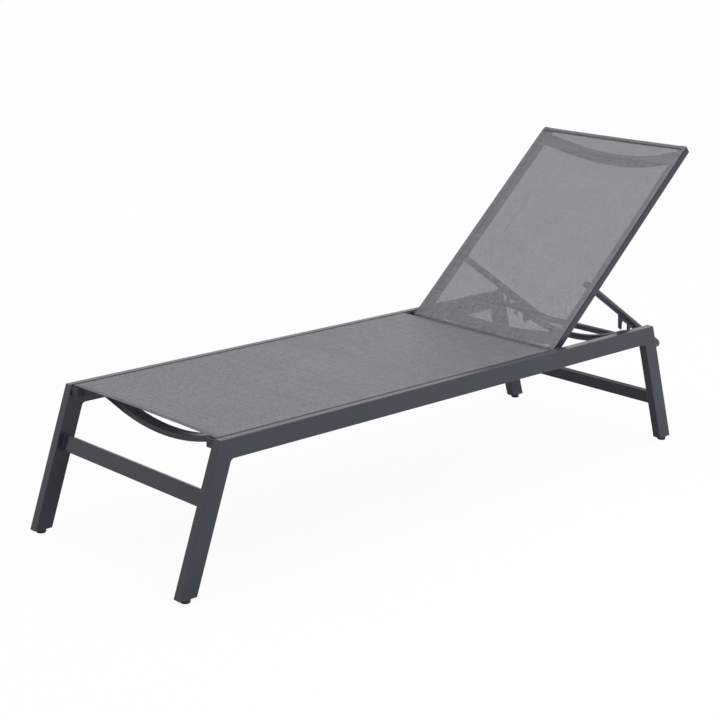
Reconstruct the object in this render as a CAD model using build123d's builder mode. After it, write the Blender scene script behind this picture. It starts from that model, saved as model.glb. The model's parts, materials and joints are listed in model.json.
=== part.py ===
from build123d import *
import os
from math import atan, atan2, cos, degrees, radians, sin, sqrt, tan

# A sun lounger of powder coated aluminium tube with a hinged back and a notched prop.
# Millimetres. X runs from the foot end to the head end, Z is up, and the left side of
# someone lying on it, minus Y, is side -1. The origin is under the middle of the whole.

# Base frame
frame_width = 600.0
rail_length = 1616.4
rail_top = 366.0
rail_height = 50.0
rail_thick = 25.0
tube_wall = 2.0
tube_round = 2.0
leg_depth = 50.0
foot_leg_splay = 117.6
head_leg_splay = 122.1
leg_end_height = 10.0
leg_corner_radius = 11.0
glide_radius = 12.0
glide_insert = 20.0

# Sling channels along the rails
seat_lip = 18.5
back_lip = 2.6
groove_width = 3.5
shelf_drop = 1.5
channel_depth = 6.5
channel_radius = 3.2
rod_radius = 2.9
channel_floor = 2.0

# Cross members of the base
crossbar_height = 40.0
crossbar_thick = 15.0
foot_bar_middle = 223.8
head_bar_middle = 136.0
bow_depth = 15.0
bow_width = 35.0
foot_bow_start = 65.0
foot_bow_radius = 600.0
foot_bow_angle = 16.0
foot_bow_rail_gap = 3.3
end_block_length = 22.0
end_block_width = 25.0
end_block_height = 22.0
end_block_drop = 4.0

# Adjuster bar, which bows down in the middle and levels out at the rails
bar_radius = 10.0
bar_place = 1615.0
bar_level_top = 338.0
bar_bow_drop = 47.0
bar_bow_radius = 455.0
bar_bow_half = 222.0

# Slings
sling_thick = 1.0
sling_gap = 0.3
seat_sling_start = 6.0
seat_sling_end = 1175.0
back_sling_start = -19.0
back_sling_end = 745.0

# Back frame, measured up its own slope from the line where it meets the seat's level
back_angle = 42.3
back_line = 1215.3
back_rail_thick = 20.0
back_rail_depth = 25.0
back_rail_end = 746.0
back_side_gap = 11.5
back_cap_thick = 2.5
back_cap_insert = 14.0
hinge_slope = -5.0
top_bow_start = 694.0
top_bow_radius = 520.0
top_bow_angle = 20.0
low_bow_start = 15.0
low_bow_radius = 660.0
low_bow_angle = 12.0
back_bow_rail_gap = 3.0
back_rod_start = 8.0
back_rod_end = 735.0

# Prop, a U of round tube hinged to the back, with a notched plate under each arm
prop_angle = 32.9
prop_hinge_slope = 224.0
prop_radius = 10.0
prop_wall = 2.0
prop_end_radius = 10.5
prop_side_gap = 3.0
prop_reach = 441.0
prop_bend = 40.0
prop_flat_depth = 1.0
hook_thick = 5.0
hook_start = 186.0
tooth_first = 222.3
tooth_pitch = 48.6
tooth_tip = 12.0
tooth_drop = 38.0
first_tooth_drop = 30.5
second_tooth_drop = 18.0
tail_length = 20.0
notch_drop = 5.0
notch_round = 6.0
tip_round = 2.5

# Hinge hardware
bolt_radius = 4.0
bolt_head_radius = 7.0
bolt_head_height = 5.0
bolt_socket = 5.0
bolt_socket_depth = 2.5
nut_radius = 6.0
nut_length = 6.5
nut_flange_radius = 8.0
nut_flange = 1.0
bush_radius = 6.0
bush_flange_radius = 11.0
washer_radius = 9.0
washer_thick = 2.0
thread_gap = 0.02
running_gap = 0.06
side_gap = 0.2
fit_gap = 0.3
washer_hole_gap = 0.2
edge_round = 1.0
glide_edge = 1.5
overrun = 1.0

os.makedirs("parts", exist_ok=True)

def bow_rise(half_span, radius, angle):
    """How far a bow's inner face climbs from its middle to its ends."""
    turn = radians(angle)
    return radius - radius * cos(turn) + (half_span - radius * sin(turn)) * tan(turn)


sides = {"left": -1, "right": 1}
half_width = frame_width / 2
rail_inner = half_width - rail_thick
rail_bottom = rail_top - rail_height
leg_fall = rail_top - leg_end_height

# The back's plane: its rise and run, and the two ends that set the origin
run = cos(radians(back_angle))
rise = sin(radians(back_angle))
back_outer = rail_inner - back_side_gap
back_inner = back_outer - back_rail_thick
back_mid_depth = back_rail_depth / 2
prop_arm_y = back_inner - prop_side_gap - prop_radius
back_tip = back_rail_end + back_cap_thick
rail_reach = back_tip * run + back_rail_depth * rise
top_bow_depth = back_bow_rail_gap + bow_depth + bow_rise(back_inner, top_bow_radius, top_bow_angle)
bow_reach = (top_bow_start + bow_width) * run + top_bow_depth * rise
head_reach = back_line + max(rail_reach, bow_reach)
foot_end = -(head_reach - foot_leg_splay) / 2
head_end = foot_end + rail_length
back_foot_x = foot_end + back_line


def slope_plane(point):
    """A plane seen from the left side, with local x up the back's slope and local y out of its face."""
    return Plane(origin=point, x_dir=(run, 0, rise), z_dir=(0, -1, 0))


def back_point(slope, depth=0.0, y=0.0):
    """A point on the back: up its slope, then square into it by depth."""
    return Vector(back_foot_x + slope * run + depth * rise, y, rail_top + slope * rise - depth * run)


def back_plane(slope, depth=0.0, y=0.0):
    """A plane square to the back's slope, with local x along Y and local y out of the back's face."""
    return Plane(origin=back_point(slope, depth, y), x_dir=(0, 1, 0), z_dir=(run, 0, rise))


def finish(piece, name):
    """Label a finished piece and write it."""
    piece.label = name
    export_step(piece, "parts/" + name + ".step")


def side_plane(y):
    """The XZ plane at a distance y across the frame."""
    return Plane.XZ.offset(-y)


def across(point, side):
    """A plane at a point that looks outward across the frame on one side."""
    return Plane(origin=point, x_dir=(1, 0, 0), z_dir=(0, side, 0))


def rail_section(plane, side, outer, thick, height, lip):
    """A tube with a sling channel: local x across the frame, local y up, top face at zero."""
    middle = side * (outer - thick / 2)
    groove = side * (outer - lip - groove_width / 2)
    shelf_width = thick - lip - groove_width / 2
    hollow_top = channel_depth + channel_radius + channel_floor
    hollow_height = height - hollow_top - tube_wall
    with BuildSketch(plane) as section:
        with Locations((middle, -height / 2)):
            RectangleRounded(thick, height, tube_round)
        with Locations((middle, -hollow_top - hollow_height / 2)):
            Rectangle(thick - 2 * tube_wall, hollow_height, mode=Mode.SUBTRACT)
        with Locations((side * (outer - thick + shelf_width / 2), 0)):
            Rectangle(shelf_width, 2 * shelf_drop, mode=Mode.SUBTRACT)
        with Locations((groove, 0)):
            Rectangle(groove_width, 2 * channel_depth, mode=Mode.SUBTRACT)
        with Locations((groove, -channel_depth)):
            Circle(channel_radius, mode=Mode.SUBTRACT)
    return section


def bow_tube(plane, half_span, radius, angle):
    """A flat tube in a shallow arc with straight ends, its bottom at the plane's origin."""
    turn = radians(angle)

    def outline(inset):
        outer = radius + bow_depth - inset
        inner = radius + inset
        with BuildSketch(plane.offset(inset)) as band:
            with BuildLine():
                ends = []
                for reach in (outer, inner):
                    bend_y = reach * sin(turn)
                    bend_z = radius + bow_depth - reach * cos(turn)
                    end_z = bend_z + (half_span - bend_y) * tan(turn)
                    middle = (0, radius + bow_depth - reach)
                    ThreePointArc((-bend_y, bend_z), middle, (bend_y, bend_z))
                    Line((bend_y, bend_z), (half_span, end_z))
                    Line((-bend_y, bend_z), (-half_span, end_z))
                    ends.append(end_z)
                for edge in (-half_span, half_span):
                    Line((edge, ends[0]), (edge, ends[1]))
            make_face()
        return band

    whole = outline(0)
    bore = outline(tube_wall)
    with BuildPart() as bow:
        extrude(whole.sketch, amount=bow_width)
        fillet(bow.edges().filter_by(lambda edge: abs(edge.center().Y) < half_span - overrun), tube_round)
        extrude(bore.sketch, amount=bow_width - 2 * tube_wall, mode=Mode.SUBTRACT)
    return bow.part


# The legs' outlines, seen from the side, each with a rounded inner corner under the rail
def leg(side, top_x, splay, heading):
    """One leg: heading is -1 at the foot end and 1 at the head end."""
    lean = splay / leg_fall
    inner_top = top_x - heading * leg_depth
    corner = Vector(inner_top + heading * lean * rail_height, rail_bottom)
    down = Vector(heading * lean, -1).normalized()
    opening = (180 - degrees(atan2(1, lean))) / 2
    setback = leg_corner_radius / tan(radians(opening))
    foot_outer = (top_x + heading * splay, leg_end_height)
    foot_inner = (inner_top + heading * splay, leg_end_height)
    along_rail = corner - Vector(heading * setback, 0)
    along_leg = corner + down * setback
    centre = Vector(along_rail.X, rail_bottom - leg_corner_radius)
    to_corner = (corner - centre).normalized()
    wall_run = tube_wall * sqrt(1 + lean * lean)
    hollow_top_x = corner.X + heading * wall_run
    hollow_width = leg_depth - 2 * wall_run
    with BuildPart() as piece:
        with BuildSketch(side_plane(side * (half_width - rail_thick / 2))):
            with BuildLine():
                Polyline((top_x, rail_top), corner, along_rail)
                ThreePointArc(along_rail, centre + to_corner * leg_corner_radius, along_leg)
                Polyline(along_leg, foot_inner, foot_outer, (top_x, rail_top))
            make_face()
        extrude(amount=rail_thick / 2, both=True)
        fillet(piece.edges().filter_by(Axis((0, 0, 0), (heading * lean, 0, -1))), tube_round)
        with BuildSketch(side_plane(side * (half_width - rail_thick / 2))):
            with BuildLine():
                Polyline(
                    (hollow_top_x, rail_bottom),
                    (hollow_top_x + heading * hollow_width, rail_bottom),
                    (foot_outer[0] - heading * wall_run, leg_end_height),
                    (foot_inner[0] + heading * wall_run, leg_end_height),
                    close=True,
                )
            make_face()
        extrude(amount=rail_thick / 2 - tube_wall, both=True, mode=Mode.SUBTRACT)
    return piece.part


def glide(side, top_x, splay, heading):
    """A leg's plastic foot: a block in the tube and a round pad under it."""
    lean = splay / leg_fall
    wall_run = tube_wall * sqrt(1 + lean * lean) + fit_gap
    foot_outer = top_x + heading * (splay - wall_run)
    foot_inner = top_x + heading * (splay - leg_depth + wall_run)
    climb = -heading * lean * glide_insert
    middle_x = top_x + heading * (splay - leg_depth / 2)
    middle_y = side * (half_width - rail_thick / 2)
    with BuildPart() as piece:
        with BuildSketch(side_plane(middle_y)):
            with BuildLine():
                Polyline(
                    (foot_outer, leg_end_height),
                    (foot_inner, leg_end_height),
                    (foot_inner + climb, leg_end_height + glide_insert),
                    (foot_outer + climb, leg_end_height + glide_insert),
                    close=True,
                )
            make_face()
        extrude(amount=rail_thick / 2 - tube_wall - fit_gap, both=True)
        with BuildSketch(Plane(origin=(middle_x, middle_y, 0))):
            Circle(glide_radius)
        extrude(amount=leg_end_height)
        fillet(piece.edges().group_by(Axis.Z)[0], glide_edge)
    return piece.part


for name, side in sides.items():
    finish(leg(side, foot_end, foot_leg_splay, -1), "foot_leg_" + name)
    finish(leg(side, head_end, head_leg_splay, 1), "head_leg_" + name)
    finish(glide(side, foot_end, foot_leg_splay, -1), "foot_glide_" + name)
    finish(glide(side, head_end, head_leg_splay, 1), "head_glide_" + name)

# Side rails, mitred to the legs, each bored for a rivet nut at the back's hinge
hinge_point = back_point(hinge_slope, back_mid_depth)
for name, side in sides.items():
    section_plane = Plane(origin=(foot_end, 0, rail_top), x_dir=(0, 1, 0), z_dir=(1, 0, 0))
    section = rail_section(section_plane, side, half_width, rail_thick, rail_height, seat_lip)
    with BuildPart() as rail:
        extrude(section.sketch, amount=rail_length)
        for end_x, splay, heading in ((foot_end, foot_leg_splay, -1), (head_end, head_leg_splay, 1)):
            mitre_run = leg_depth - splay / leg_fall * rail_height
            mitre = Plane(
                origin=(end_x, 0, rail_top),
                x_dir=(0, 1, 0),
                z_dir=(-heading * rail_height, 0, mitre_run),
            )
            split(bisect_by=mitre, keep=Keep.TOP)
        with BuildSketch(across((hinge_point.X, side * rail_inner, hinge_point.Z), side)):
            Circle(nut_radius + thread_gap)
        extrude(amount=nut_length, mode=Mode.SUBTRACT)
    finish(rail.part, "side_rail_" + name)

# Straight crossbars, which lean with the legs and lie in the middle of their depth
for name, top_x, splay, heading, middle_z in (
    ("foot_crossbar", foot_end, foot_leg_splay, -1, foot_bar_middle),
    ("head_crossbar", head_end, head_leg_splay, 1, head_bar_middle),
):
    middle_x = top_x + heading * (splay * (rail_top - middle_z) / leg_fall - leg_depth / 2)
    lean_dir = (leg_fall, 0, heading * splay)
    with BuildPart() as crossbar:
        with BuildSketch(Plane(origin=(middle_x, 0, middle_z), x_dir=lean_dir, z_dir=(0, -1, 0))):
            RectangleRounded(crossbar_thick, crossbar_height, tube_round)
            Rectangle(
                crossbar_thick - 2 * tube_wall, crossbar_height - 2 * tube_wall, mode=Mode.SUBTRACT
            )
        extrude(amount=rail_inner, both=True)
    finish(crossbar.part, name)

# Bowed flat tube under the foot end of the seat
foot_bow_floor = (
    rail_top - foot_bow_rail_gap - bow_rise(rail_inner, foot_bow_radius, foot_bow_angle) - bow_depth
)
foot_bow_plane = Plane(
    origin=(foot_end + foot_bow_start, 0, foot_bow_floor), x_dir=(0, 1, 0), z_dir=(1, 0, 0)
)
finish(bow_tube(foot_bow_plane, rail_inner, foot_bow_radius, foot_bow_angle), "foot_bow_tube")

# Plastic blocks that close the sling channels at the foot corners
for name, side in sides.items():
    with BuildPart() as end_block:
        with BuildSketch(Plane.XY.offset(rail_top - end_block_drop)):
            with Locations((foot_end + end_block_length / 2, side * (rail_inner - end_block_width / 2))):
                Rectangle(end_block_length, end_block_width)
        extrude(amount=-end_block_height)
        fillet(end_block.edges().filter_by(Axis.Z), edge_round)
    finish(end_block.part, "sling_end_block_" + name)

# Adjuster bar: a wide arc, a short arc the other way, then level to the rails
bar_turn = 2 * atan(bar_bow_drop / bar_bow_half)
bar_level = bar_level_top - bar_radius
bar_lift_radius = bar_bow_half / sin(bar_turn) - bar_bow_radius
bar_bend = bar_bow_radius * sin(bar_turn)
bar_bend_rise = bar_bow_radius * (1 - cos(bar_turn))
half_turn = bar_turn / 2
lift_y = bar_bow_half - bar_lift_radius * sin(half_turn)
lift_z = bar_level - bar_lift_radius * (1 - cos(half_turn))
bar_low = bar_level - bar_bow_drop
with BuildPart() as adjuster_bar:
    with BuildLine(Plane(origin=(foot_end + bar_place, 0, 0), x_dir=(0, 1, 0), z_dir=(1, 0, 0))) as bar_path:
        Line((-rail_inner, bar_level), (-bar_bow_half, bar_level))
        ThreePointArc((-bar_bow_half, bar_level), (-lift_y, lift_z), (-bar_bend, bar_low + bar_bend_rise))
        ThreePointArc(
            (-bar_bend, bar_low + bar_bend_rise), (0, bar_low), (bar_bend, bar_low + bar_bend_rise)
        )
        ThreePointArc((bar_bend, bar_low + bar_bend_rise), (lift_y, lift_z), (bar_bow_half, bar_level))
        Line((bar_bow_half, bar_level), (rail_inner, bar_level))
    with BuildSketch(Plane(origin=(foot_end + bar_place, -rail_inner, bar_level), z_dir=(0, 1, 0))):
        Circle(bar_radius)
        Circle(bar_radius - tube_wall, mode=Mode.SUBTRACT)
    sweep(path=bar_path.wire())
finish(adjuster_bar.part, "adjuster_bar")

# Seat sling and the rods that hold its edges in the rails' channels
seat_groove = half_width - seat_lip - groove_width / 2
seat_sling_floor = rail_top - shelf_drop + sling_gap
with BuildPart() as seat_sling:
    with BuildSketch(Plane.XY.offset(seat_sling_floor)):
        with Locations((foot_end + (seat_sling_start + seat_sling_end) / 2, 0)):
            Rectangle(seat_sling_end - seat_sling_start, 2 * seat_groove)
    extrude(amount=sling_thick)
finish(seat_sling.part, "seat_sling")
for name, side in sides.items():
    with BuildPart() as seat_rod:
        with BuildSketch(Plane.YZ.offset(foot_end + leg_depth)):
            with Locations((side * seat_groove, rail_top - channel_depth)):
                Circle(rod_radius)
        extrude(amount=seat_sling_end - leg_depth)
    finish(seat_rod.part, "seat_edge_rod_" + name)

# Back rails, rounded at the hinge, bored for its bush and for the prop's rivet nut
prop_hinge = back_point(prop_hinge_slope, back_mid_depth)
back_start = hinge_slope - back_mid_depth
for name, side in sides.items():
    section = rail_section(
        back_plane(back_start), side, back_outer, back_rail_thick, back_rail_depth, back_lip
    )
    with BuildPart() as back_rail:
        extrude(section.sketch, amount=back_rail_end - back_start)
        with BuildSketch(slope_plane(hinge_point)):
            with Locations((-back_mid_depth, 0)):
                Rectangle(2 * back_mid_depth, 2 * back_rail_depth)
            Circle(back_mid_depth, mode=Mode.SUBTRACT)
            with Locations((back_mid_depth, 0)):
                Rectangle(2 * back_mid_depth, 2 * back_rail_depth, mode=Mode.SUBTRACT)
        extrude(amount=half_width, both=True, mode=Mode.SUBTRACT)
        with BuildSketch(across((hinge_point.X, side * (back_inner - overrun), hinge_point.Z), side)):
            Circle(bush_radius + running_gap)
        extrude(amount=back_rail_thick + 2 * overrun, mode=Mode.SUBTRACT)
        with BuildSketch(across((prop_hinge.X, side * back_inner, prop_hinge.Z), side)):
            Circle(nut_radius + thread_gap)
        extrude(amount=nut_length, mode=Mode.SUBTRACT)
    finish(back_rail.part, "back_rail_" + name)

# Bowed flat tubes between the back rails, curving away behind the sling
for name, start, radius, angle in (
    ("back_top_bow_tube", top_bow_start, top_bow_radius, top_bow_angle),
    ("back_low_bow_tube", low_bow_start, low_bow_radius, low_bow_angle),
):
    floor_depth = back_bow_rail_gap + bow_depth + bow_rise(back_inner, radius, angle)
    finish(bow_tube(back_plane(start, floor_depth), back_inner, radius, angle), name)

# Caps on the upper ends of the back rails
hollow_top = channel_depth + channel_radius + channel_floor
hollow_height = back_rail_depth - hollow_top - tube_wall
for name, side in sides.items():
    with BuildPart() as rail_cap:
        with BuildSketch(back_plane(back_rail_end)):
            with Locations((side * (back_outer - back_rail_thick / 2), -back_mid_depth)):
                RectangleRounded(back_rail_thick, back_rail_depth, tube_round)
        extrude(amount=back_cap_thick)
        fillet(rail_cap.faces().sort_by(Axis((0, 0, 0), (run, 0, rise)))[-1].edges(), edge_round)
        with BuildSketch(back_plane(back_rail_end)):
            with Locations((side * (back_outer - back_rail_thick / 2), -hollow_top - hollow_height / 2)):
                Rectangle(
                    back_rail_thick - 2 * tube_wall - 2 * fit_gap, hollow_height - 2 * fit_gap
                )
        extrude(amount=-back_cap_insert)
    finish(rail_cap.part, "back_rail_cap_" + name)

# Back sling and its edge rods
back_groove = back_outer - back_lip - groove_width / 2
with BuildPart() as back_sling:
    with BuildSketch(back_plane(back_sling_start, shelf_drop - sling_gap - sling_thick / 2)):
        Rectangle(2 * back_groove, sling_thick)
    extrude(amount=back_sling_end - back_sling_start)
finish(back_sling.part, "back_sling")
for name, side in sides.items():
    with BuildPart() as back_rod:
        with BuildSketch(back_plane(back_rod_start)):
            with Locations((side * back_groove, -channel_depth)):
                Circle(rod_radius)
        extrude(amount=back_rod_end - back_rod_start)
    finish(back_rod.part, "back_edge_rod_" + name)

# The prop: local x across, local y down its arms, on a plane through its hinge
prop_run = cos(radians(prop_angle))
prop_fall = sin(radians(prop_angle))
prop_plane = Plane(origin=prop_hinge, x_dir=(0, 1, 0), z_dir=(-prop_fall, 0, -prop_run))
prop_flat = prop_radius - prop_flat_depth
with BuildPart() as prop_frame:
    with BuildLine(prop_plane) as prop_path:
        FilletPolyline(
            (-prop_arm_y, -prop_end_radius),
            (-prop_arm_y, prop_reach),
            (prop_arm_y, prop_reach),
            (prop_arm_y, -prop_end_radius),
            radius=prop_bend,
        )
    prop_start = prop_plane.from_local_coords((-prop_arm_y, -prop_end_radius, 0))
    with BuildSketch(Plane(origin=prop_start, x_dir=(0, 1, 0), z_dir=(prop_run, 0, -prop_fall))):
        Circle(prop_radius)
        Circle(prop_radius - prop_wall, mode=Mode.SUBTRACT)
    sweep(path=prop_path.wire())
    for side in sides.values():
        for edge in (prop_arm_y - prop_radius, prop_arm_y + prop_flat):
            with BuildSketch(across((prop_hinge.X, side * edge, prop_hinge.Z), side)):
                Circle(washer_radius + overrun)
            extrude(amount=prop_flat_depth, mode=Mode.SUBTRACT)
        bore_start = side * (prop_arm_y - prop_radius)
        with BuildSketch(across((prop_hinge.X, bore_start, prop_hinge.Z), side)):
            Circle(bolt_radius + running_gap)
        extrude(amount=2 * prop_radius, mode=Mode.SUBTRACT)
    with BuildSketch(Plane(origin=prop_hinge, x_dir=(prop_run, 0, -prop_fall), z_dir=(0, -1, 0))):
        with Locations((-prop_end_radius, 0)):
            Rectangle(2 * prop_end_radius, 2 * prop_end_radius + 2 * overrun)
        Circle(prop_end_radius, mode=Mode.SUBTRACT)
    extrude(amount=half_width, both=True, mode=Mode.SUBTRACT)
finish(prop_frame.part, "prop_frame")

# Notched plates under the arms: each notch is upright when the prop stands, and the first two
# teeth are short, so that the prop swings past the adjuster bar as the back is let down flat
tooth_lean = prop_fall / prop_run
tooth_drops = (first_tooth_drop, second_tooth_drop, tooth_drop, tooth_drop)
notch_top = -prop_radius - notch_drop
for name, side in sides.items():
    hook_origin = (prop_hinge.X, side * prop_arm_y, prop_hinge.Z)
    hook_plane = Plane(origin=hook_origin, x_dir=(prop_run, 0, -prop_fall), z_dir=(0, -1, 0))
    outline = [(hook_start, -prop_radius)]
    for tooth, drop in enumerate(tooth_drops):
        middle = tooth_first + tooth * tooth_pitch
        climb = (tooth_drop - drop) * tooth_lean
        notch_climb = (tooth_drop - notch_drop) * tooth_lean
        tip = -prop_radius - drop
        if tooth == 0:
            lead = middle - tooth_tip / 2 - hook_start
            outline.append((hook_start + lead * drop / tooth_drop, tip))
        else:
            outline.append((middle - tooth_tip / 2 - notch_climb, notch_top))
            outline.append((middle - tooth_tip / 2 - climb, tip))
        outline.append((middle + tooth_tip / 2 - climb, tip))
        if tooth < len(tooth_drops) - 1:
            outline.append((middle + tooth_tip / 2 - notch_climb, notch_top))
        else:
            outline.append((middle + tooth_tip / 2 + tail_length, -prop_radius))
    with BuildPart() as hook_plate:
        with BuildSketch(hook_plane) as hook_sketch:
            with BuildLine():
                Polyline(*outline, close=True)
            make_face()
            fillet(hook_sketch.vertices().group_by(Axis.Y)[-2], notch_round)
            fillet(hook_sketch.vertices().group_by(Axis.Y)[0], tip_round)
        extrude(amount=hook_thick / 2, both=True)
    finish(hook_plate.part, "hook_plate_" + name)


def stack(point, layers):
    """A turned piece on both sides: layers of start, end, radius and bore, measured across."""
    with BuildPart() as pieces:
        for side in sides.values():
            for start, end, radius, bore in layers:
                with BuildSketch(across((point.X, side * start, point.Z), side)):
                    Circle(radius)
                extrude(amount=end - start)
            for start, end, radius, bore in layers:
                if bore:
                    with BuildSketch(across((point.X, side * start, point.Z), side)):
                        Circle(bore)
                    extrude(amount=end - start, mode=Mode.SUBTRACT)
    return pieces.part


# Hinge hardware, two of each: socket bolts, rivet nuts, washers and the back's plastic bushes
def bolt_layers(head_end, shank_end):
    """A socket bolt whose head ends at one distance across and whose shank ends at another."""
    head_start = head_end - bolt_head_height
    return (
        (head_start, head_start + bolt_socket_depth, bolt_head_radius, bolt_socket / 2),
        (head_start + bolt_socket_depth, head_end, bolt_head_radius, 0),
        (head_end, shank_end, bolt_radius, 0),
    )


def nut_layers(face):
    """A rivet nut set into a rail whose inner face is at this distance across."""
    bore = bolt_radius + thread_gap
    return (
        (face - nut_flange, face, nut_flange_radius, bore),
        (face, face + nut_length - side_gap, nut_radius, bore),
    )


bush_end = rail_inner - nut_flange - side_gap
washer_end = back_inner - side_gap
washer_bore = bolt_radius + washer_hole_gap
head_washer = (washer_end - washer_thick, washer_end, washer_radius, washer_bore)
bush_bore = bolt_radius + running_gap
bush_layers = (
    (back_inner, back_outer + side_gap, bush_radius, bush_bore),
    (back_outer + side_gap, bush_end, bush_flange_radius, bush_bore),
)
back_bolt = bolt_layers(washer_end - washer_thick, rail_inner + nut_length - side_gap)
finish(stack(hinge_point, back_bolt), "back_hinge_bolts")
finish(stack(hinge_point, nut_layers(rail_inner)), "back_hinge_rivet_nuts")
finish(stack(hinge_point, (head_washer,)), "back_hinge_washers")
finish(stack(hinge_point, bush_layers), "back_hinge_bushes")

spacer_start = prop_arm_y + prop_flat + side_gap
spacer_end = back_inner - nut_flange - side_gap
prop_bolt = bolt_layers(prop_arm_y - prop_flat - side_gap, back_inner + nut_length - side_gap)
finish(stack(prop_hinge, prop_bolt), "prop_hinge_bolts")
finish(stack(prop_hinge, nut_layers(back_inner)), "prop_hinge_rivet_nuts")
finish(stack(prop_hinge, ((spacer_start, spacer_end, washer_radius, washer_bore),)), "prop_hinge_washers")
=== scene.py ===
import bmesh
import bpy
import json
from math import cos, pi, radians, sin
from mathutils import Matrix, Vector

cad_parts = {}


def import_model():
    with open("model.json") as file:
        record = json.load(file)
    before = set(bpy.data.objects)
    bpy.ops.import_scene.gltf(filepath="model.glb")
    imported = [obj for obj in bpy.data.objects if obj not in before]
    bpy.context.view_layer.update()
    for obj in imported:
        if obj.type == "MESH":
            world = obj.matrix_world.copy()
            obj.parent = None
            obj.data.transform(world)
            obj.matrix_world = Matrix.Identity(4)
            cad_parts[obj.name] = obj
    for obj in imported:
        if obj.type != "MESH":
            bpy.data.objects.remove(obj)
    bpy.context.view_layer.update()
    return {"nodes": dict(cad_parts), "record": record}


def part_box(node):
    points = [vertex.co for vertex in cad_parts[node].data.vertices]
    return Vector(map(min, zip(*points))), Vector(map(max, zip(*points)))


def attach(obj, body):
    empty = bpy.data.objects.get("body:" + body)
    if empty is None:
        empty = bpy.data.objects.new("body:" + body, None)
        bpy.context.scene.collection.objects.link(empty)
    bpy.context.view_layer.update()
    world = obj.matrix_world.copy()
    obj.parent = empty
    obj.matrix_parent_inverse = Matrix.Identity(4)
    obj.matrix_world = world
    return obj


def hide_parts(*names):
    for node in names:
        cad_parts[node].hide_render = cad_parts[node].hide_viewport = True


# A garden sun lounger of powder-coated tube with two woven mesh slings. Metres, in the model's
# own frame: x runs from the foot end to the head end, y from left to right, z up.
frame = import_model()

SIDES = (("left", -1), ("right", 1))

# The view: where the camera stands, its angles in degrees and its lens in millimetres
CAMERA_PLACE = (-3.0827, -3.0171, 1.5298)
CAMERA_AZIMUTH = -44.506
CAMERA_ELEVATION = 15.457
CAMERA_ROLL = 1.197
CAMERA_LENS = 82.81
CAMERA_SENSOR = 36.0
CAMERA_REACH = 50.0

# Light: the sky's share on the lounger, soft light overhead and a lamp beside it
SKY_LIGHT = 0.29
OVERHEAD_LIGHT = 2.5
OVERHEAD_SPREAD = 70.0
OVERHEAD_TILT = 8.0
SIDE_LAMP_PLACE = (0.8, -4.2, 1.7)
SIDE_LAMP_AIM = (0.3, 0, 0.4)
SIDE_LAMP_SIZE = 2.2
SIDE_LAMP_POWER = 68

# The floor, and how much of it the camera sees as plain white
FLOOR_REACH = 30.0
FLOOR_GREY = (0.66, 0.66, 0.66, 1)
FLOOR_ROUGHNESS = 0.9
FLOOR_GLOW = 0.95

# Colours, as linear light
WHITE = (1, 1, 1, 1)
COAT_DARK = (0.026, 0.031, 0.045, 1)
COAT_LIGHT = (0.038, 0.044, 0.062, 1)
YARN_DARK = (0.022, 0.022, 0.027, 1)
YARN_LIGHT = (0.238, 0.236, 0.268, 1)
# The hem's light tone: the yarn's, darkened to paint the shade of the double layer
HEM_PAINTED_SHADE_LIGHT = (0.185, 0.184, 0.208, 1)
CAP_DARK = (0.028, 0.033, 0.044, 1)
CAP_LIGHT = (0.040, 0.046, 0.060, 1)
PLASTIC_DARK = (0.010, 0.010, 0.011, 1)
PLASTIC_LIGHT = (0.020, 0.020, 0.022, 1)
STEEL_DARK = (0.30, 0.30, 0.31, 1)
STEEL_LIGHT = (0.52, 0.52, 0.53, 1)

# Roughness: from the smoothest spots to the roughest, or the same all over
COAT_ROUGHNESS = (0.18, 0.26)
PLASTIC_ROUGHNESS = (0.45, 0.6)
STEEL_ROUGHNESS = (0.25, 0.4)
MESH_ROUGHNESS = 0.45
HEM_ROUGHNESS = 0.5
THREAD_ROUGHNESS = 0.6

# The speckle: fine grain over larger clouds, and how high the grain stands
GRAIN_SCALE = 900.0
GRAIN_DETAIL = 2.0
GRAIN_SHARE = 0.35
CLOUD_SCALE = 6.0
CLOUD_DETAIL = 3.0
SPECKLE_STRENGTH = 0.7
SPECKLE_HEIGHT = 0.0001
STEEL_HEIGHT = 0.00005

# The weave: the step from yarn to yarn, how much of it a yarn fills, how much that varies,
# and how high the yarns stand
WEAVE_PITCH = 0.0020
YARN_SHARE = 0.52
HEM_SHARE = 0.74
YARN_SPREAD = 0.34
WEAVE_RELIEF = 0.6
WEAVE_HEIGHT = 0.0004

# The weave's tones: a shift that sets the two directions apart, the yarns in a band, the band's
# share of a yarn's tone, the blocks to a yarn, and what each adds to the shade; the crown's share
# is a painted highlight, lighter where a yarn's round side stands highest
CROSS_SHIFT = 0.37
BAND_YARNS = 3.0
BAND_SHARE = 0.30
BLOCK_SHARE = 0.5
STREAK_SHADE = 0.20
FLECK_SHADE = 0.42
PATCH_SHADE = 0.28
CROWN_PAINTED_HIGHLIGHT = 0.28
SHADE_DROP = 0.07

# The slings' thickness, and the cells of their meshes
SLING_THICK = 0.0004
SLING_COLUMNS = 120
SEAT_ROWS = 60
BACK_ROWS = 50

# How far the slings give between the rails, the part of it that is left at their ends, how soon
# it is full from there, and how far the seat's end draws in
SEAT_SAG = 0.003
SEAT_END_SAG = 0.4
SEAT_END_RISE = 6
BACK_SAG = 0.004
BACK_END_SAG = 0.3
BACK_END_RISE = 5
EDGE_DRAW = 0.008

# How the slings' long edges turn down: the seat's in the side rails' channels, the back's at the
# back rails' outer sides
FLAT_SHARE = 0.92
GROOVE_STEP = 0.0021
TURN_WIDTH = 0.0012
TURN_DOWN = 0.0032
BACK_INSET = 0.0001
BACK_RISE = 0.0017
BACK_MARGIN = 0.0215
ROLL_WIDTH = 0.0012
ROLL_DOWN = 0.0010

# Hems: a second layer at the slings' ends, how much of the width it takes and how far it lies off
# the sling, the cells of its mesh, and where its seam runs
HEM_WIDTH = 0.014
HEM_REACH = 0.90
HEM_DROP = 0.0007
HEM_COLUMNS = 80
HEM_ROWS = 2
SEAM_SHARE = 0.8
SEAM_AIM = 0.001
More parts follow.
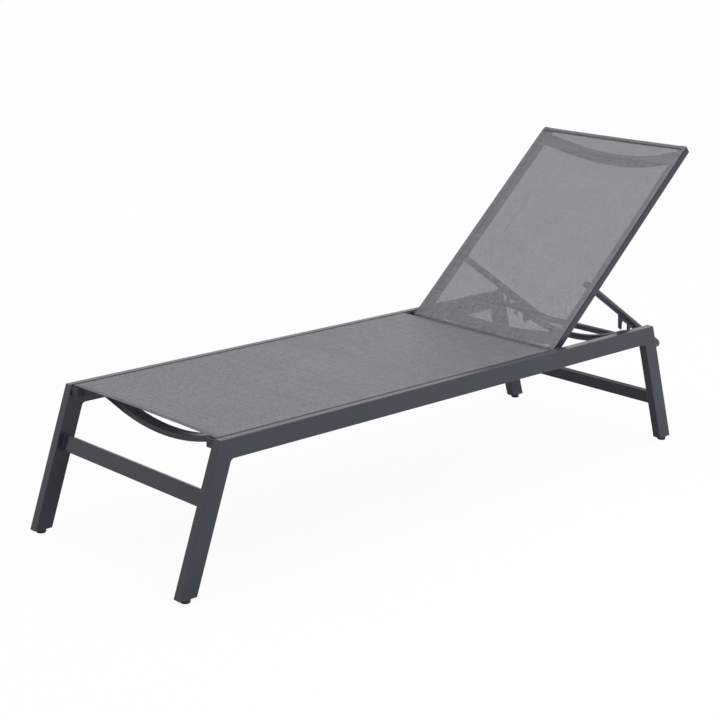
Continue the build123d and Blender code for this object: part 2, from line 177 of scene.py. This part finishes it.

# Stitches along the hems: their size, how high they stand in radii, the rings of points that
# shape them at shares of their length and radius, and the thread's twist, drawn as dark and light
# bands: painted shade in its grooves and painted light on its ridges
STITCH_LENGTH = 0.0030
STITCH_GAP = 0.0014
STITCH_RADIUS = 0.0003
STITCH_RISE = 0.5
STITCH_SIDES = 5
STITCH_RINGS = ((-0.5, 0.4), (-0.3, 1.0), (0.3, 1.0), (0.5, 0.4))
TWIST_SCALE = 900.0
TWIST_BEND = 1.0

# Edgings: flat black strips beside the seat sling and round black cords beside the back sling,
# dark things put where the rails' slots and edges cast a shadow line, which is painted shadow,
# and where they lie by the slings' edges
EDGING_SIDES = 10
EDGING_ROWS = 40
STRIP_IN = 0.0007
STRIP_RISE = 0.0001
STRIP_WIDE = 0.0030
STRIP_HIGH = 0.0006
CORD_RADIUS = 0.0010
CORD_RISE = 0.0001
CORD_OUT = 0.0009
CORD_END = 0.004

# Weld beads: their size, ripple and tips, the part of the radius that is sunk in, how close to a
# tube's end a point counts as on it, and the digits that tell an outline's points apart
BEAD_RADIUS = 0.0016
BEAD_SIDES = 6
BEAD_STEP = 0.0012
BEAD_RIPPLE = 0.12
BEAD_WAVE = 2.1
BEAD_TIP = 0.5
BEAD_SUNK = 0.4
END_DEPTH = 0.0001
OUTLINE_DIGITS = 6


def new_object(name, data):
    """An object in the scene."""
    thing = bpy.data.objects.new(name, data)
    bpy.context.scene.collection.objects.link(thing)
    return thing


def camera():
    """The camera at the photograph's viewing angle."""
    azimuth = radians(CAMERA_AZIMUTH)
    elevation = radians(CAMERA_ELEVATION)
    roll = radians(CAMERA_ROLL)
    back = Vector((sin(azimuth) * cos(elevation), -cos(azimuth) * cos(elevation), sin(elevation)))
    level = (-back).cross(Vector((0, 0, 1))).normalized()
    upright = level.cross(-back)
    right = cos(roll) * level + sin(roll) * upright
    up = cos(roll) * upright - sin(roll) * level
    data = bpy.data.cameras.new("camera")
    data.lens = CAMERA_LENS
    data.sensor_width = CAMERA_SENSOR
    data.clip_end = CAMERA_REACH
    eye = new_object("camera", data)
    facing = Matrix((right, up, back)).transposed().to_4x4()
    eye.matrix_world = Matrix.Translation(CAMERA_PLACE) @ facing
    bpy.context.scene.camera = eye


class Nodes:
    """A node tree that is written one node at a time."""

    def __init__(self, tree):
        self.tree = tree

    def link(self, source, target):
        """Join one socket to another."""
        self.tree.links.new(source, target)

    def add(self, kind, **inputs):
        """Add a node: settings by name, sockets by name or by number as in i0."""
        node = self.tree.nodes.new(kind)
        for name, value in inputs.items():
            if hasattr(node, name):
                setattr(node, name, value)
                continue
            key = int(name[1:]) if name[1:].isdigit() else name.replace("_", " ")
            if isinstance(value, bpy.types.NodeSocket):
                self.link(value, node.inputs[key])
            else:
                node.inputs[key].default_value = value
        return node

    def math(self, operation, first, second=0.0, third=0.0):
        """One sum, as a socket."""
        node = self.add("ShaderNodeMath", operation=operation, i0=first, i1=second, i2=third)
        return node.outputs[0]

    def mix_value(self, factor, first, second):
        """A blend of two values, as a socket."""
        node = self.add("ShaderNodeMix", data_type="FLOAT", i0=factor, i2=first, i3=second)
        return node.outputs[0]

    def mix(self, factor, first, second):
        """A blend of two colours, as a socket."""
        node = self.add("ShaderNodeMix", data_type="RGBA", i0=factor, i6=first, i7=second)
        return node.outputs[2]


def group(name, inputs, outputs):
    """A shader node group with named inputs and outputs."""
    tree = bpy.data.node_groups.new(name, "ShaderNodeTree")
    for label, kind, value in inputs:
        socket = tree.interface.new_socket(name=label, in_out="INPUT", socket_type=kind)
        if value is not None:
            socket.default_value = value
    for label, kind in outputs:
        tree.interface.new_socket(name=label, in_out="OUTPUT", socket_type=kind)
    nodes = Nodes(tree)
    return nodes, nodes.add("NodeGroupInput").outputs, nodes.add("NodeGroupOutput").inputs


def speckle_group():
    """Fine speckle over a surface, for powder coat, moulded plastic and zinc."""
    inputs = (
        ("Dark", "NodeSocketColor", None),
        ("Light", "NodeSocketColor", None),
        ("Grain Scale", "NodeSocketFloat", GRAIN_SCALE),
        ("Cloud Scale", "NodeSocketFloat", CLOUD_SCALE),
        ("Roughness Low", "NodeSocketFloat", None),
        ("Roughness High", "NodeSocketFloat", None),
    )
    outputs = (
        ("Color", "NodeSocketColor"),
        ("Roughness", "NodeSocketFloat"),
        ("Height", "NodeSocketFloat"),
    )
    nodes, given, result = group("Speckle", inputs, outputs)
    place = nodes.add("ShaderNodeTexCoord").outputs["Object"]
    noise = "ShaderNodeTexNoise"
    grain = nodes.add(noise, Vector=place, Scale=given["Grain Scale"], Detail=GRAIN_DETAIL)
    cloud = nodes.add(noise, Vector=place, Scale=given["Cloud Scale"], Detail=CLOUD_DETAIL)
    share = nodes.math("MULTIPLY", grain.outputs["Fac"], GRAIN_SHARE)
    both = nodes.math("ADD", share, cloud.outputs["Fac"])
    shade = nodes.math("MULTIPLY", both, SPECKLE_STRENGTH)
    rough = nodes.add(
        "ShaderNodeMapRange",
        Value=cloud.outputs["Fac"],
        i3=given["Roughness Low"],
        i4=given["Roughness High"],
    )
    nodes.link(nodes.mix(shade, given["Dark"], given["Light"]), result["Color"])
    nodes.link(rough.outputs[0], result["Roughness"])
    nodes.link(grain.outputs["Fac"], result["Height"])
    return nodes.tree


def weave_group():
    """A plain open weave of round yarns: its colour, its height and where the yarns are."""
    inputs = (
        ("Pitch", "NodeSocketFloat", WEAVE_PITCH),
        ("Yarn Share", "NodeSocketFloat", YARN_SHARE),
        ("Dark", "NodeSocketColor", None),
        ("Light", "NodeSocketColor", None),
    )
    outputs = (
        ("Color", "NodeSocketColor"),
        ("Alpha", "NodeSocketFloat"),
        ("Height", "NodeSocketFloat"),
    )
    nodes, given, result = group("Woven Mesh", inputs, outputs)

    def random_along(place):
        """A random value for each whole number along one direction."""
        noise = nodes.add("ShaderNodeTexWhiteNoise", noise_dimensions="1D", W=place)
        return noise.outputs["Value"]

    def random_over(pair):
        """A random value for each pair of whole numbers."""
        spot = nodes.add("ShaderNodeCombineXYZ", X=pair[0], Y=pair[1]).outputs[0]
        noise = nodes.add("ShaderNodeTexWhiteNoise", noise_dimensions="2D", Vector=spot)
        return noise.outputs["Value"]

    # Each direction's yarns: which one it is, its tone, and how high its round side stands
    cloth = nodes.add("ShaderNodeUVMap", uv_map="cloth").outputs["UV"]
    split = nodes.add("ShaderNodeSeparateXYZ", Vector=cloth)
    crowns = []
    cells = []
    tones = []
    for axis, shift in (("X", 0.0), ("Y", CROSS_SHIFT)):
        turns = nodes.math("DIVIDE", split.outputs[axis], given["Pitch"])
        cell = nodes.math("FLOOR", turns)
        cells.append(cell)
        yarn = random_along(nodes.math("ADD", cell, shift))
        bands = nodes.math("DIVIDE", turns, BAND_YARNS)
        band = random_along(nodes.math("FLOOR", nodes.math("ADD", bands, shift)))
        tone = nodes.mix_value(BAND_SHARE, yarn, band)
        tones.append(tone)
        thickness = nodes.math("MULTIPLY_ADD", tone, YARN_SPREAD, 1.0 - YARN_SPREAD / 2)
        width = nodes.math("MULTIPLY", given["Yarn Share"], thickness)
        off = nodes.math("ABSOLUTE", nodes.math("SUBTRACT", nodes.math("FRACT", turns), 0.5))
        across = nodes.math("DIVIDE", nodes.math("MULTIPLY", off, 2.0), width)
        crowns.append(nodes.math("SUBTRACT", 1.0, nodes.math("MULTIPLY", across, across)))

    # Over and under by turns, and open between the yarns
    inside = [nodes.math("GREATER_THAN", crown, 0.0) for crown in crowns]
    yarns = nodes.math("MAXIMUM", *inside)
    odd = nodes.math("MODULO", nodes.math("ABSOLUTE", nodes.math("ADD", *cells)), 2.0)
    even = nodes.math("SUBTRACT", 1.0, odd)
    above = nodes.math("MULTIPLY", nodes.math("MULTIPLY", crowns[0], inside[0]), odd)
    under = nodes.math("MULTIPLY", nodes.math("MULTIPLY", crowns[1], inside[1]), even)
    height = nodes.math("MAXIMUM", above, under)

    # The shade, random from single crossings, blocks of them and whole yarns, with a painted
    # highlight on the yarns' round sides, lighter at their crowns
    fleck = random_over(cells)
    blocks = [nodes.math("FLOOR", nodes.math("MULTIPLY", cell, BLOCK_SHARE)) for cell in cells]
    patch = random_over(blocks)
    streak = nodes.math("MULTIPLY", nodes.math("ADD", *tones), STREAK_SHADE)
    grain = nodes.math("MULTIPLY_ADD", fleck, FLECK_SHADE, streak)
    grain = nodes.math("MULTIPLY_ADD", patch, PATCH_SHADE, grain)
    grain = nodes.math("SUBTRACT", grain, SHADE_DROP)
    # Painted highlight: the yarns' crowns drawn lighter than their sides
    shade = nodes.math("MULTIPLY_ADD", height, CROWN_PAINTED_HIGHLIGHT, grain)
    nodes.link(nodes.mix(shade, given["Dark"], given["Light"]), result["Color"])
    nodes.link(yarns, result["Alpha"])
    nodes.link(height, result["Height"])
    return nodes.tree


def new_material(name):
    """A material, its node tree and its shader."""
    material = bpy.data.materials.new(name)
    material.use_nodes = True
    return material, Nodes(material.node_tree), material.node_tree.nodes["Principled BSDF"]


def shaded(name, tree, values, relief, height, roughness=None, metallic=0.0, gloss=0.5):
    """A material whose colour and grain come from one of the groups above."""
    material, nodes, shader = new_material(name)
    effect = nodes.add("ShaderNodeGroup", node_tree=tree)
    for label, value in values.items():
        effect.inputs[label].default_value = value
    grain = effect.outputs["Height"]
    bump = nodes.add("ShaderNodeBump", Height=grain, Strength=relief, Distance=height)
    nodes.link(effect.outputs["Color"], shader.inputs["Base Color"])
    nodes.link(bump.outputs[0], shader.inputs["Normal"])
    if "Alpha" in effect.outputs:
        nodes.link(effect.outputs["Alpha"], shader.inputs["Alpha"])
    if roughness is None:
        nodes.link(effect.outputs["Roughness"], shader.inputs["Roughness"])
    else:
        shader.inputs["Roughness"].default_value = roughness
    shader.inputs["Metallic"].default_value = metallic
    shader.inputs["Specular IOR Level"].default_value = gloss
    return material


def finishes():
    """Every finish on the lounger, by its slot's name."""
    speckle = speckle_group()
    weave = weave_group()

    def speckled(name, dark, light, rough, relief, height=SPECKLE_HEIGHT, **shine):
        """A hard finish, speckled between two tones."""
        values = {"Dark": dark, "Light": light}
        values["Roughness Low"], values["Roughness High"] = rough
        return shaded(name, speckle, values, relief, height, **shine)

    def woven(name, values, roughness, **shine):
        """A finish of the slings' mesh."""
        return shaded(name, weave, values, WEAVE_RELIEF, WEAVE_HEIGHT, roughness, **shine)

    coat = (COAT_DARK, COAT_LIGHT, COAT_ROUGHNESS)
    cap = (CAP_DARK, CAP_LIGHT, PLASTIC_ROUGHNESS)
    black = (PLASTIC_DARK, PLASTIC_LIGHT, PLASTIC_ROUGHNESS)
    zinc = (STEEL_DARK, STEEL_LIGHT, STEEL_ROUGHNESS)
    yarn = {"Dark": YARN_DARK, "Light": YARN_LIGHT}
    # The top hem's tones, darker than the yarn's: painted shade of the double layer
    tight_shaded_hem = {"Dark": YARN_DARK, "Light": HEM_PAINTED_SHADE_LIGHT, "Yarn Share": HEM_SHARE}
    return {
        "frame_coat": speckled("anthracite_powder_coat", *coat, relief=0.12, gloss=0.4),
        "cap_plastic": speckled("moulded_anthracite_plastic", *cap, relief=0.15, gloss=0.3),
        "black_plastic": speckled("moulded_black_plastic", *black, relief=0.15),
        # Black for the edgings, which stand in for the shadow lines at the rails: painted shadow
        "edging": speckled("shadow_line_black", *black, relief=0.05, gloss=0.1),
        "fastener_steel": speckled(
            "zinc_plated_steel", *zinc, relief=0.05, height=STEEL_HEIGHT, metallic=1.0
        ),
        "seat_mesh": woven("seat_woven_mesh", yarn, MESH_ROUGHNESS, gloss=0.6),
        # The back's top hem, its yarn painted darker for the double layer's shade
        "hem_mesh": woven("back_hem_mesh_painted_shade", tight_shaded_hem, HEM_ROUGHNESS),
        "back_mesh": woven("back_woven_mesh", yarn, MESH_ROUGHNESS, gloss=0.8),
    }


def stitch_finish():
    """The thread of the hems, banded with painted shade and light along its twist."""
    material, nodes, shader = new_material("hem_thread")
    place = nodes.add("ShaderNodeTexCoord").outputs["Object"]
    # Painted shade and light: dark and light bands across the thread for its twisted plies
    painted_twist_shade = nodes.add(
        "ShaderNodeTexWave", Vector=place, Scale=TWIST_SCALE, Distortion=TWIST_BEND
    )
    colour = nodes.mix(painted_twist_shade.outputs["Fac"], YARN_DARK, YARN_LIGHT)
    nodes.link(colour, shader.inputs["Base Color"])
    shader.inputs["Roughness"].default_value = THREAD_ROUGHNESS
    return material


def new_piece(name, points, faces, material, uvs=None):
    """A smooth mesh piece, its faces outward, with cloth coordinates where they are given."""
    mesh = bpy.data.meshes.new(name)
    mesh.from_pydata(points, [], faces)
    mesh.materials.append(material)
    if uvs:
        layer = mesh.uv_layers.new(name="cloth")
        for loop in mesh.loops:
            layer.data[loop.index].uv = uvs[loop.vertex_index]
    mesh.validate()
    skin = bmesh.new()
    skin.from_mesh(mesh)
    bmesh.ops.recalc_face_normals(skin, faces=skin.faces)
    skin.to_mesh(mesh)
    skin.free()
    mesh.shade_smooth()
    return new_object(name, mesh)


def cloth_slab(name, place, columns, rows, thick, material):
    """A closed thin sheet, whose top point, normal and cloth coordinates come from place."""
    points = []
    uvs = []
    for layer in (0, 1):
        for row in range(rows + 1):
            for column in range(columns + 1):
                point, normal, uv = place(column / columns, row / rows)
                points.append(point - normal * thick * layer)
                uvs.append(uv)
    width = columns + 1
    count = width * (rows + 1)
    faces = []
    for row in range(rows):
        for column in range(columns):
            corner = row * width + column
            quad = (corner, corner + 1, corner + width + 1, corner + width)
            faces.append(quad)
            faces.append(tuple(count + index for index in reversed(quad)))
    rim = list(range(columns))
    rim += [row * width + columns for row in range(rows)]
    rim += [rows * width + column for column in range(columns, 0, -1)]
    rim += [row * width for row in range(rows, 0, -1)]
    for start, end in zip(rim, rim[1:] + rim[:1]):
        faces.append((end, start, start + count, end + count))
    return new_piece(name, points, faces, material, uvs)


def ring_faces(start, rings, sides, closed=False):
    """Faces from ring to ring of points, and on to the first ring or with a cap at each end."""
    faces = []
    for ring in range(rings if closed else rings - 1):
        near = start + ring * sides
        far = start + (ring + 1) % rings * sides
        for turn in range(sides):
            beside = (turn + 1) % sides
            faces.append((near + turn, near + beside, far + beside, far + turn))
    if not closed:
        faces.append(tuple(start + turn for turn in reversed(range(sides))))
        faces.append(tuple(start + (rings - 1) * sides + turn for turn in range(sides)))
    return faces


def stitches(name, line, count, material):
    """A row of short stitches: line gives a point, its direction and its normal at a share."""
    points = []
    faces = []
    for stitch in range(count):
        point, along, normal = line((stitch + 0.5) / count)
        side = along.cross(normal)
        faces += ring_faces(len(points), len(STITCH_RINGS), STITCH_SIDES)
        for step, size in STITCH_RINGS:
            for turn in range(STITCH_SIDES):
                angle = 2 * pi * turn / STITCH_SIDES
                ring = side * cos(angle) + normal * sin(angle)
                centre = point + along * step * STITCH_LENGTH
                points.append(centre + ring * size * STITCH_RADIUS)
    return new_piece(name, points, faces, material)


# The frame's own pieces wear their slot's finish, and its end pieces are moulded in its colour
finish_of = finishes()
thread = stitch_finish()
slots = {part["node"]: part["material_slot"] for part in frame["record"]["subparts"]}
for node, thing in frame["nodes"].items():
    capped = node.startswith(("back_rail_cap", "sling_end_block"))
    for index in range(len(thing.material_slots)):
        thing.material_slots[index].material = finish_of["cap_plastic" if capped else slots[node]]


def edge_turn(across):
    """At a share of a sling's width: its side, its share of the flat part, its turn down."""
    share = 2 * across - 1
    side = -1 if share < 0 else 1
    turn = max(abs(share) - FLAT_SHARE, 0) / (1 - FLAT_SHARE) * pi / 2
    return side, min(abs(share) / FLAT_SHARE, 1), turn


def sag_share(along, left, rise):
    """How much of the sag a sling has at a share of its length: all but near its ends."""
    return left + (1 - left) * min(1.0, rise * along, rise * (1 - along))


# The seat sling, from the foot end to just short of the back's hinge
seat_low, seat_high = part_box("seat_sling")
seat_half = seat_high.y
seat_start = seat_low.x
seat_end = seat_high.x
seat_top = seat_high.z
seat_flat = seat_half - GROOVE_STEP
seat_length = seat_end - seat_start


def seat_place(across, along):
    """A point on the seat sling, its normal and its cloth coordinates."""
    side, flat, turn = edge_turn(across)
    y = side * (seat_flat * flat + TURN_WIDTH * sin(turn))
    middle = max(1 - (y / seat_flat) ** 2, 0)
    first = seat_start + EDGE_DRAW * middle
    x = first + (seat_end - first) * along
    sag = SEAT_SAG * middle * sag_share(along, SEAT_END_SAG, SEAT_END_RISE)
    z = seat_top - sag - TURN_DOWN * (1 - cos(turn))
    slope = 2 * SEAT_SAG * y / seat_flat**2 * (middle > 0)
    normal = Vector((0, -slope + side * sin(turn), cos(turn))).normalized()
    return Vector((x, y, z)), normal, (x, y + side * TURN_DOWN * sin(turn))


seat_sling = cloth_slab(
    "seat_sling_mesh", seat_place, SLING_COLUMNS, SEAT_ROWS, SLING_THICK, finish_of["seat_mesh"]
)
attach(seat_sling, "base")
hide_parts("seat_sling")


def edging(name, first, last, up, wide, high, body):
    """A smooth black strip from one point to another, oval in section, put where a shadow line
    falls.
    """
    across = (last - first).cross(up).normalized()
    points = []
    for row in range(EDGING_ROWS + 1):
        centre = first.lerp(last, row / EDGING_ROWS)
        for turn in range(EDGING_SIDES):
            angle = 2 * pi * turn / EDGING_SIDES
            points.append(centre + across * cos(angle) * wide + up * sin(angle) * high)
    faces = ring_faces(0, EDGING_ROWS + 1, EDGING_SIDES)
    strip = new_piece(name, points, faces, finish_of["edging"])
    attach(strip, body)
    return strip


def hem(name, place, start, end, body, finish_name, drop=HEM_DROP):
    """The folded end of a sling: a second layer under or over it, and stitches on top."""

    def reach(across):
        """The sling's own share of width at a share of the hem's."""
        return 0.5 + HEM_REACH * (across - 0.5)

    def under(across, along):
        """The second layer, its yarns half a step off the first's."""
        point, normal, uv = place(reach(across), start + (end - start) * along)
        return point - normal * drop, normal, (uv[0] + WEAVE_PITCH / 2, uv[1] + WEAVE_PITCH / 2)

    finish = finish_of[finish_name]
    fold = cloth_slab(name, under, HEM_COLUMNS, HEM_ROWS, SLING_THICK, finish)
    run = start + (end - start) * SEAM_SHARE

    def line(share):
        """The seam's line on top of both layers."""
        point, normal, _ = place(reach(share), run)
        beyond, _, _ = place(reach(share) + SEAM_AIM, run)
        lift = STITCH_RADIUS * STITCH_RISE + max(-drop, 0)
        return point + normal * lift, (beyond - point).normalized(), normal

    width = (place(1, run)[0] - place(0, run)[0]).length
    count = int(width / (STITCH_LENGTH + STITCH_GAP))
    seam = stitches(name + "_stitches", line, count, thread)
    for piece in (fold, seam):
        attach(piece, body)
    return [fold, seam]


# The black strips along the seat sling's sides, standing in for the shadow line of the rails'
# slots, and the hems at its ends
upward = Vector((0, 0, 1))
for name, side in SIDES:
    y = side * (seat_half - STRIP_IN)
    ends = [Vector((x, y, seat_top + STRIP_RISE)) for x in (seat_start, seat_end)]
    title = "seat_shadow_strip_" + name
    edging(title, *ends, upward, STRIP_WIDE, STRIP_HIGH, "base")
seat_fold = HEM_WIDTH / seat_length
seat_hems = hem("seat_hem_foot", seat_place, 0.0, seat_fold, "base", "seat_mesh")
seat_hems += hem("seat_hem_head", seat_place, 1.0, 1 - seat_fold, "base", "seat_mesh")

# The back sling, over the front faces of the back rails
back_low, back_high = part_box("back_sling")
rail_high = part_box("back_rail_right")[1]
back_half = rail_high.y - BACK_INSET
back_slope = Vector((back_high.x - back_low.x, 0, back_high.z - back_low.z))
back_run = back_slope.normalized()
back_out = Vector((-back_run.z, 0, back_run.x))
back_foot = Vector((back_low.x, 0, back_low.z))
back_length = back_slope.length
back_span = back_half - BACK_MARGIN


def back_place(across, along):
    """A point on the back sling, its normal and its cloth coordinates."""
    side, flat, turn = edge_turn(across)
    y = side * ((back_half - ROLL_WIDTH) * flat + ROLL_WIDTH * sin(turn))
    middle = max(1 - (y / back_span) ** 2, 0)
    sag = BACK_SAG * middle * sag_share(along, BACK_END_SAG, BACK_END_RISE)
    depth = BACK_RISE - sag - ROLL_DOWN * (1 - cos(turn))
    point = back_foot + back_run * back_length * along + back_out * depth + Vector((0, y, 0))
    normal = (back_out * cos(turn) + Vector((0, side * sin(turn), 0))).normalized()
    return point, normal, (y, back_length * along)


back_sling = cloth_slab(
    "back_sling_mesh", back_place, SLING_COLUMNS, BACK_ROWS, SLING_THICK, finish_of["back_mesh"]
)
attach(back_sling, "back")
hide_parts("back_sling")

# The back sling's hems, the top one over it with its yarn painted darker for the shade of the
# double layer, and black cords along its sides that stand in for the shadow line at the back
# rails' outer edges
back_fold = HEM_WIDTH / back_length
back_hems = hem(
    "back_hem_top", back_place, 1.0, 1 - back_fold, "back", "hem_mesh", -HEM_DROP
)
back_hems += hem("back_hem_low", back_place, 0.0, back_fold, "back", "back_mesh")
# Black cords at the back rails' outer edges, dark things put where the gap there casts a shadow
# line: painted shadow
for name, side in SIDES:
    offset = back_out * CORD_RISE + Vector((0, side * (back_half + CORD_OUT), 0))
    shares = (CORD_END, 1 - CORD_END)
    ends = [back_foot + back_run * back_length * share + offset for share in shares]
    title = "back_shadow_cord_" + name
    edging(title, *ends, back_out, CORD_RADIUS, CORD_RADIUS, "back")


def bends_in(first, second, third):
    """Whether an anticlockwise outline runs straight or bends inward at its second point."""
    rise = (second[1] - first[1]) * (third[0] - first[0])
    return (second[0] - first[0]) * (third[1] - first[1]) <= rise


def hull(points):
    """The outline round some flat points, anticlockwise."""
    ordered = sorted(set((round(a, OUTLINE_DIGITS), round(b, OUTLINE_DIGITS)) for a, b in points))
    halves = []
    for row in (ordered, ordered[::-1]):
        half = []
        for spot in row:
            while len(half) > 1 and bends_in(half[-2], half[-1], spot):
                half.pop()
            half.append(spot)
        halves += half[:-1]
    return halves


def evenly(line, step):
    """Points at even steps along a run of straight lines."""
    spots = []
    for first, second in zip(line, line[1:]):
        count = max(1, round((second - first).length / step))
        spots += [first.lerp(second, index / count) for index in range(count)]
    return spots


def weld_bead(name, line, closed, body):
    """A rippled weld bead along a line of points."""
    spots = evenly(line + line[:1] if closed else line, BEAD_STEP)
    count = len(spots)
    points = []
    for index, spot in enumerate(spots):
        before = spots[index - 1] if closed or index else spot
        after = spots[(index + 1) % count] if closed or index < count - 1 else spot
        along = (after - before).normalized()
        across = along.cross(Vector((0, 1, 0))).normalized()
        upright = along.cross(across)
        size = BEAD_RADIUS * (1 + BEAD_RIPPLE * sin(index * BEAD_WAVE))
        if not closed and index in (0, count - 1):
            size *= BEAD_TIP
        for turn in range(BEAD_SIDES):
            angle = 2 * pi * turn / BEAD_SIDES
            points.append(spot + (across * cos(angle) + upright * sin(angle)) * size)
    faces = ring_faces(0, count, BEAD_SIDES, closed)
    bead = new_piece(name, points, faces, finish_of["frame_coat"])
    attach(bead, body)


def end_welds(node, body):
    """Beads round both ends of a cross member, where it meets the rails or legs."""
    spots = [vertex.co for vertex in frame["nodes"][node].data.vertices]
    reach = max(spot.y for spot in spots)
    for name, side in SIDES:
        outline = hull([(spot.x, spot.z) for spot in spots if spot.y * side > reach - END_DEPTH])
        y = side * (reach - BEAD_RADIUS * BEAD_SUNK)
        weld_bead(node + "_weld_" + name, [Vector((x, y, z)) for x, z in outline], True, body)


for node in ("foot_crossbar", "head_crossbar", "foot_bow_tube", "adjuster_bar"):
    end_welds(node, "base")
for node in ("back_top_bow_tube", "back_low_bow_tube"):
    end_welds(node, "back")

# A bead along each face of each hook plate, where it meets the prop's arm
for name, _ in SIDES:
    plate = frame["nodes"]["hook_plate_" + name].data
    middle_y = sum(vertex.co.y for vertex in plate.vertices) / len(plate.vertices)
    edges = [[plate.vertices[index].co for index in edge.vertices] for edge in plate.edges]
    level = [pair for pair in edges if abs(pair[0].y - pair[1].y) < END_DEPTH]
    longest = max((pair[1] - pair[0]).length for pair in level)
    for pair in level:
        if (pair[1] - pair[0]).length > longest - END_DEPTH:
            face = "outer" if abs(pair[0].y) > abs(middle_y) else "inner"
            title = "hook_plate_" + name + "_weld_" + face
            weld_bead(title, [spot.copy() for spot in pair], False, "prop")


def floor():
    """A pale floor that shows white to the camera and keeps the lounger's shadow."""
    mesh = bpy.data.meshes.new("floor")
    low, high = -FLOOR_REACH, FLOOR_REACH
    corners = [(low, low, 0), (high, low, 0), (high, high, 0), (low, high, 0)]
    mesh.from_pydata(corners, [], [(0, 1, 2, 3)])
    material, nodes, shader = new_material("pale_floor")
    shader.inputs["Base Color"].default_value = FLOOR_GREY
    shader.inputs["Roughness"].default_value = FLOOR_ROUGHNESS
    path = nodes.add("ShaderNodeLightPath")
    glow = nodes.add("ShaderNodeEmission", Color=WHITE, Strength=1.0)
    blend = nodes.add(
        "ShaderNodeMixShader",
        i0=nodes.math("MULTIPLY", path.outputs["Is Camera Ray"], FLOOR_GLOW),
        i1=shader.outputs[0],
        i2=glow.outputs[0],
    )
    nodes.link(blend.outputs[0], material.node_tree.nodes["Material Output"].inputs["Surface"])
    mesh.materials.append(material)
    ground = new_object("floor", mesh)


def world():
    """A sky that is white where it is seen and softer where it lights the lounger."""
    sky = bpy.data.worlds.new("studio")
    bpy.context.scene.world = sky
    sky.use_nodes = True
    nodes = Nodes(sky.node_tree)
    path = nodes.add("ShaderNodeLightPath")
    seen = nodes.math(
        "MAXIMUM", path.outputs["Is Camera Ray"], path.outputs["Is Transmission Ray"]
    )
    seen = nodes.math("MAXIMUM", seen, path.outputs["Is Glossy Ray"])
    strength = nodes.math("MULTIPLY_ADD", seen, 1.0 - SKY_LIGHT, SKY_LIGHT)
    background = sky.node_tree.nodes["Background"]
    background.inputs["Color"].default_value = WHITE
    nodes.link(strength, background.inputs["Strength"])


def overhead():
    """Wide soft light from nearly straight above, the same over the whole floor."""
    data = bpy.data.lights.new("overhead_lamp", "SUN")
    data.energy = OVERHEAD_LIGHT
    data.angle = radians(OVERHEAD_SPREAD)
    light = new_object("overhead_lamp", data)
    light.rotation_euler = (0, radians(OVERHEAD_TILT), 0)


def side_lamp():
    """A soft square lamp on the near side."""
    data = bpy.data.lights.new("side_lamp", "AREA")
    data.size = SIDE_LAMP_SIZE
    data.energy = SIDE_LAMP_POWER
    light = new_object("side_lamp", data)
    light.location = SIDE_LAMP_PLACE
    beam = Vector(SIDE_LAMP_AIM) - Vector(SIDE_LAMP_PLACE)
    light.rotation_euler = beam.to_track_quat("-Z", "Y").to_euler()


camera()
floor()
world()
overhead()
side_lamp()
bpy.context.scene.view_settings.view_transform = "Standard"
